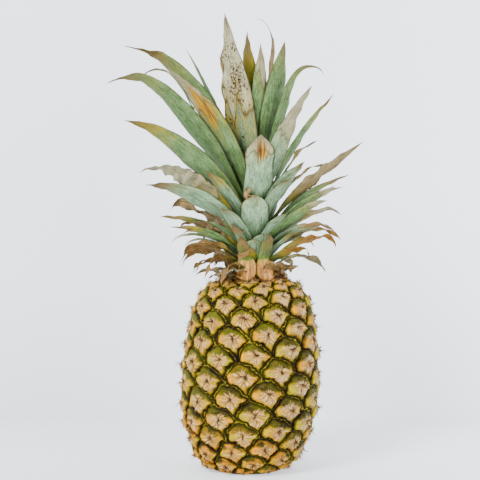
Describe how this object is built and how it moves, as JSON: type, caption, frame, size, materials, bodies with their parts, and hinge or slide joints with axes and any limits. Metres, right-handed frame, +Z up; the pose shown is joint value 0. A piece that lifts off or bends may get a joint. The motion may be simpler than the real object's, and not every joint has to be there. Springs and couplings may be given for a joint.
{
  "type": "pineapple",
  "caption": "Whole ripe pineapple standing upright, with a ridged rind of spiral eyes, a cut stalk underneath and a bushy crown of long curling leaves.",
  "frame": {"origin": "centre of the flat face the fruit stands on", "axes": "+Z up along the fruit towards its crown, -Y the front, +X to the right seen from the front"},
  "size_m": [0.2226, 0.1615, 0.4],
  "materials": {
    "rind": "waxy ridged rind, olive and tan with dark furrows",
    "cut_wood": "dry fibrous cut stalk",
    "stem_flesh": "pale fibrous stem, hidden by the leaves",
    "leaf_green": "waxy green leaf with fine lengthwise lines",
    "leaf_pale": "leaf covered in pale bloom",
    "leaf_dry": "withered papery brown leaf"
  },
  "bodies": {
    "root": {"fruit": "rind", "cut_stalk": "cut_wood", "crown_stem": "stem_flesh", "leaf_01": "leaf_dry", "leaf_02": "leaf_dry", "leaf_03": "leaf_dry", "leaf_04": "leaf_dry", "leaf_05": "leaf_dry", "leaf_06": "leaf_dry", "leaf_07": "leaf_dry", "leaf_08": "leaf_pale", "leaf_09": "leaf_pale", "leaf_10": "leaf_pale", "leaf_11": "leaf_dry", "leaf_12": "leaf_dry", "leaf_13": "leaf_green", "leaf_14": "leaf_pale", "leaf_15": "leaf_dry", "leaf_16": "leaf_dry", "leaf_17": "leaf_green", "leaf_18": "leaf_green", "leaf_19": "leaf_pale", "leaf_20": "leaf_pale", "leaf_21": "leaf_green", "leaf_22": "leaf_green", "leaf_23": "leaf_pale", "leaf_24": "leaf_dry", "leaf_25": "leaf_pale", "leaf_26": "leaf_dry", "leaf_27": "leaf_pale", "leaf_28": "leaf_green", "leaf_29": "leaf_pale", "leaf_30": "leaf_pale", "leaf_31": "leaf_green", "leaf_32": "leaf_green", "leaf_33": "leaf_dry", "leaf_34": "leaf_pale", "leaf_35": "leaf_dry", "leaf_36": "leaf_dry", "leaf_37": "leaf_green", "leaf_38": "leaf_green", "leaf_39": "leaf_dry", "leaf_40": "leaf_green", "leaf_41": "leaf_pale", "leaf_42": "leaf_green", "leaf_43": "leaf_green", "leaf_44": "leaf_green", "leaf_45": "leaf_pale", "leaf_46": "leaf_green", "leaf_47": "leaf_green", "leaf_48": "leaf_green", "leaf_49": "leaf_green", "leaf_50": "leaf_pale", "leaf_51": "leaf_green", "leaf_52": "leaf_green", "leaf_53": "leaf_green", "leaf_54": "leaf_green", "leaf_55": "leaf_green", "leaf_56": "leaf_green", "leaf_57": "leaf_green"}
  },
  "joints": []
}
